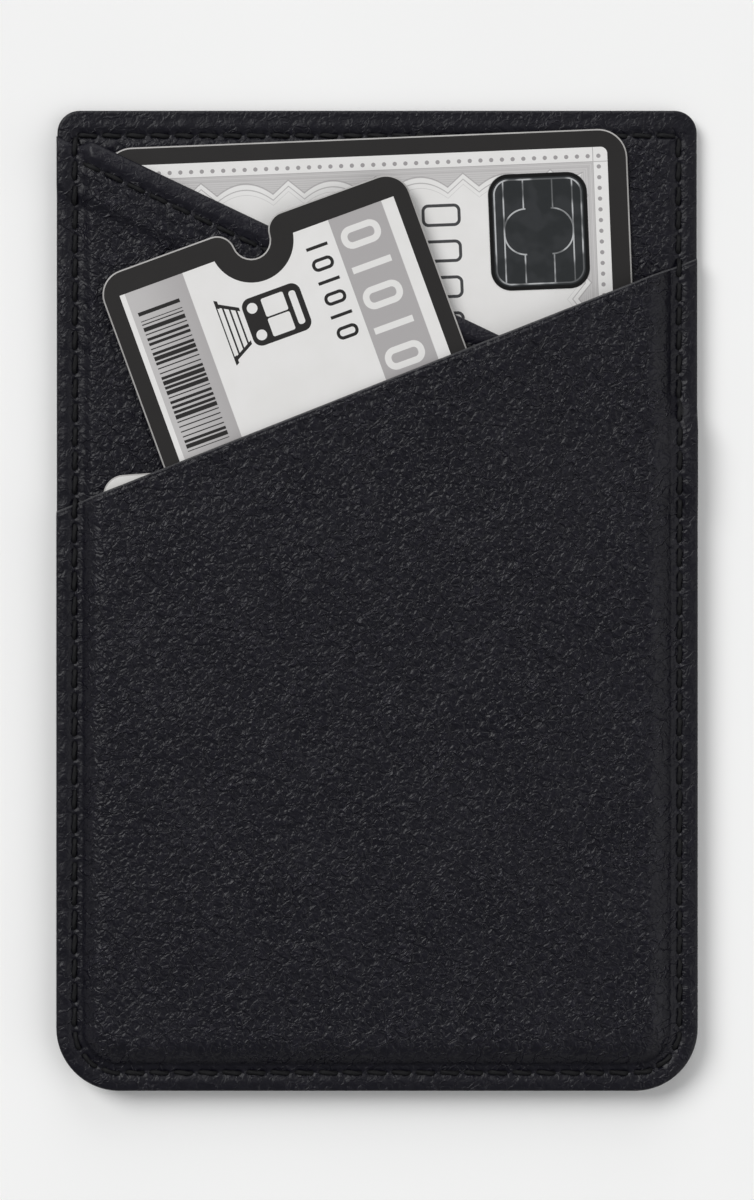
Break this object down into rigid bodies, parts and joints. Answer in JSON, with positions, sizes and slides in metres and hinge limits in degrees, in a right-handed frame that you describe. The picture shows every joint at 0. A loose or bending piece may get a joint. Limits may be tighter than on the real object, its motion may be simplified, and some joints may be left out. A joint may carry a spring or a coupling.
{
  "type": "stick-on phone card holder",
  "caption": "Flat black leather pocket with two slanted overlapping mouths that sticks to the back of a phone and holds cards and tickets.",
  "frame": {"origin": "centre of the outline, on the underside of the release liner, where the pocket meets the phone", "axes": "+X to the right seen from the front, +Y towards the open end, +Z out of the front, away from the phone"},
  "size_m": [0.066, 0.101, 0.0045],
  "materials": {
    "black_leather": "semi-matte pebble grain, raw cut edges",
    "black_thread": "twisted polyester sewing thread",
    "printed_card": "satin printed card with a black border",
    "plain_card": "satin white card",
    "adhesive": "tacky acrylic foam",
    "liner_paper": "glazed release paper"
  },
  "bodies": {
    "root": {"release_liner": "liner_paper", "adhesive_pad": "adhesive", "backing_ply": "black_leather", "back_panel": "black_leather", "rear_pocket_panel": "black_leather", "front_pocket_panel": "black_leather", "perimeter_stitching": "black_thread", "perimeter_underthread": "black_thread", "hem_stitching": "black_thread", "bank_card": "printed_card", "paper_slip": "plain_card", "travel_ticket": "printed_card"}
  },
  "joints": []
}
